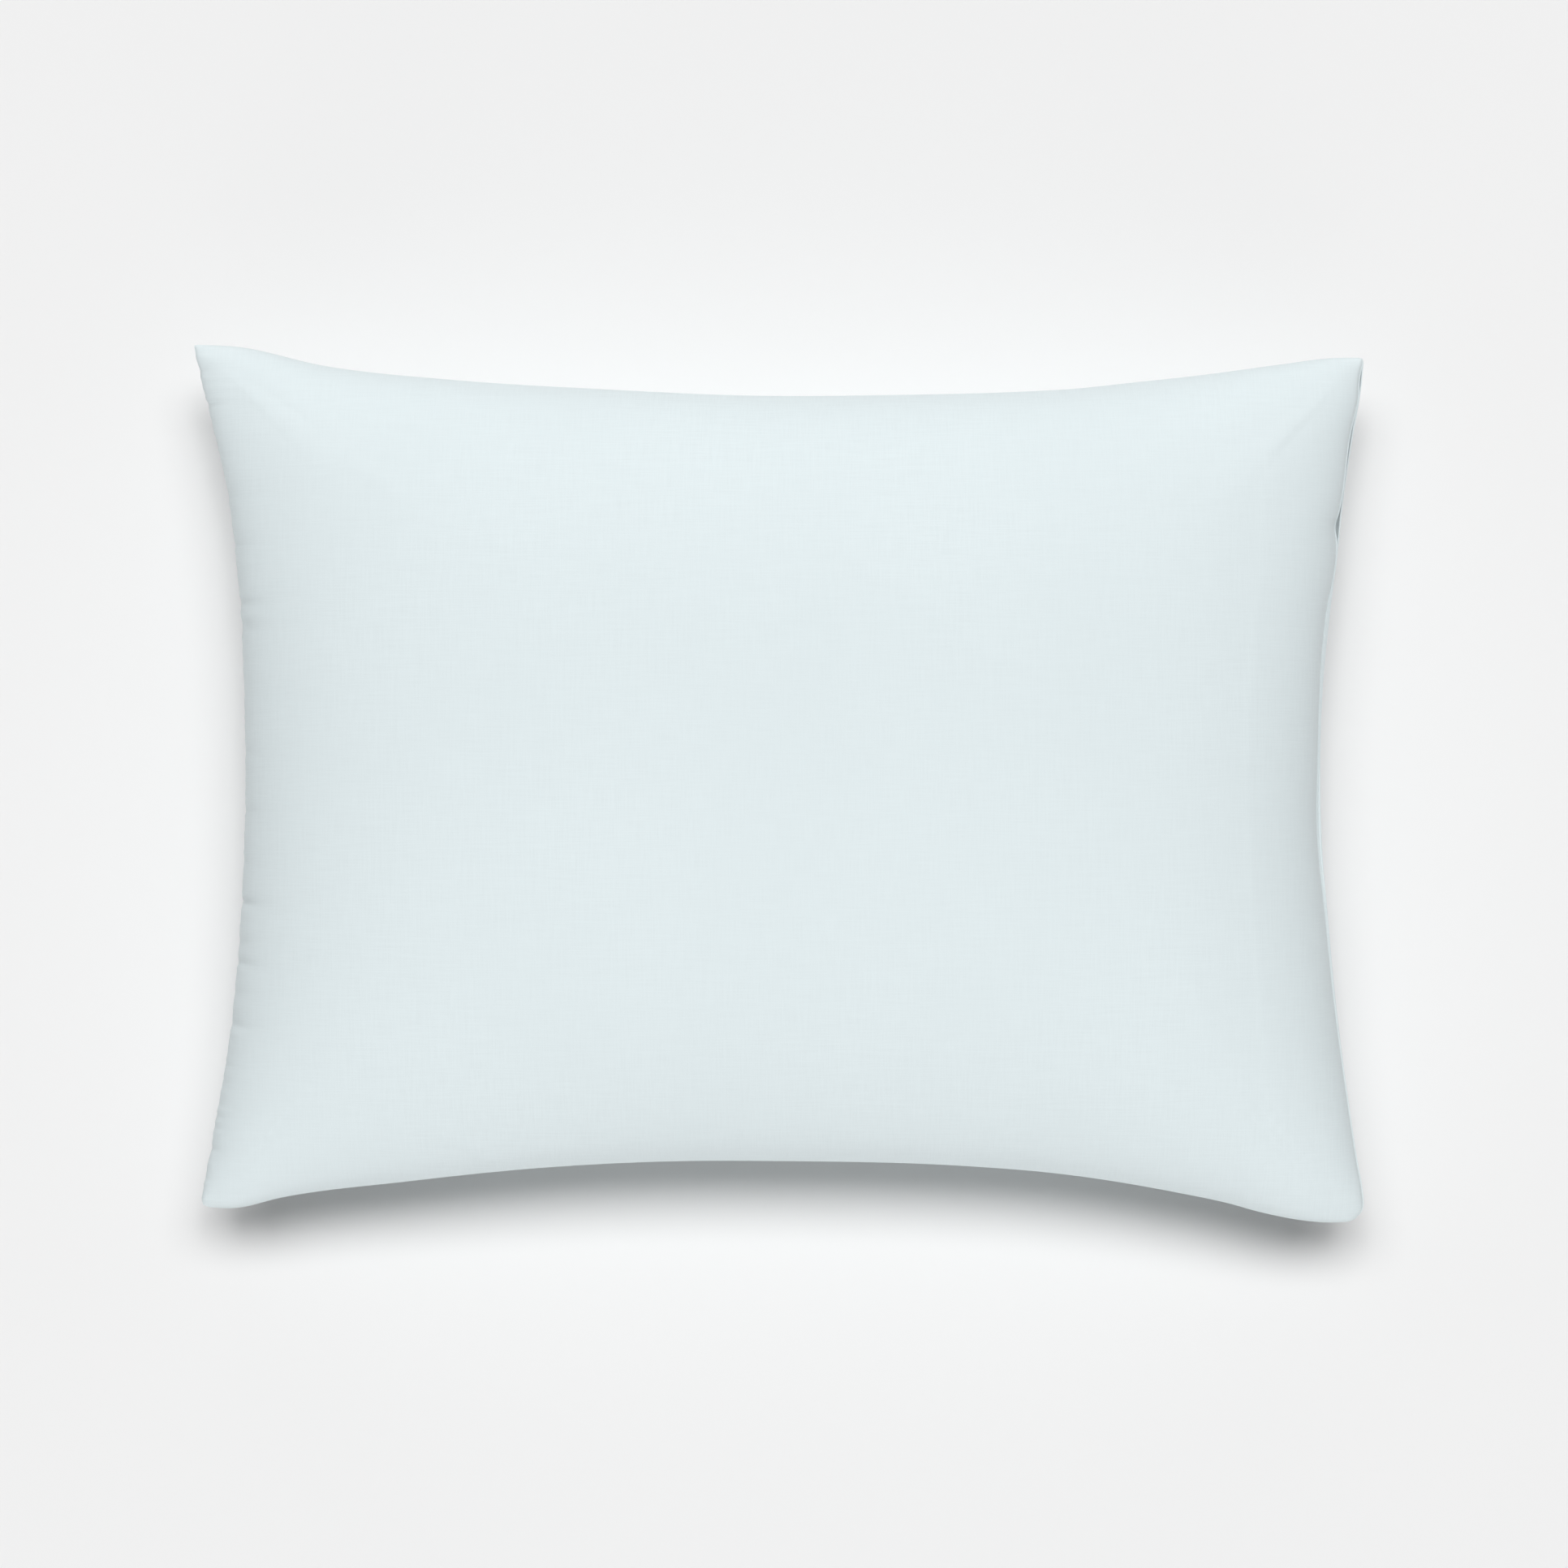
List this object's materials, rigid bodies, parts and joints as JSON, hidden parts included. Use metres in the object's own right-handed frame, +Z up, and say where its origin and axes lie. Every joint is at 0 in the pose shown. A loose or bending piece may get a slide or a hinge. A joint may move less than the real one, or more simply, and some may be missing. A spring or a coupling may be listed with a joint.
{
  "type": "bed pillow",
  "caption": "Plump rectangular bed pillow lying flat in a plain knife-edged cotton pillowcase with a tuck-in flap at one end, drawn-in sides and pointed corners.",
  "frame": {"origin": "on the surface that the pillow lies on, under the middle of the box round the pillow", "axes": "+X along the pillow to the end where the case opens, +Y across it, +Z up through the crown"},
  "size_m": [0.628, 0.47, 0.168],
  "materials": {
    "case_cloth": "matte",
    "ticking": "matte",
    "thread": "satin",
    "label": "satin",
    "filling": "matte"
  },
  "bodies": {
    "root": {"case_back_panel": "case_cloth", "case_bartack_bottom": "thread", "case_bartack_top": "thread", "case_bottom_seam": "case_cloth", "case_bottom_seam_thread": "thread", "case_care_label": "label", "case_flap": "case_cloth", "case_flap_hem": "case_cloth", "case_flap_hem_thread": "thread", "case_front_hem": "case_cloth", "case_front_hem_thread": "thread", "case_front_panel": "case_cloth", "case_left_seam": "case_cloth", "case_left_seam_thread": "thread", "case_mouth_seam": "case_cloth", "case_mouth_seam_thread": "thread", "case_top_seam": "case_cloth", "case_top_seam_thread": "thread", "fill": "filling", "insert_care_label": "label", "ticking_back": "ticking", "ticking_bottom_seam": "ticking", "ticking_bottom_seam_thread": "thread", "ticking_closing_seam": "ticking", "ticking_closing_seam_thread": "thread", "ticking_front": "ticking", "ticking_left_seam": "ticking", "ticking_left_seam_thread": "thread", "ticking_top_seam": "ticking", "ticking_top_seam_thread": "thread"}
  },
  "joints": []
}
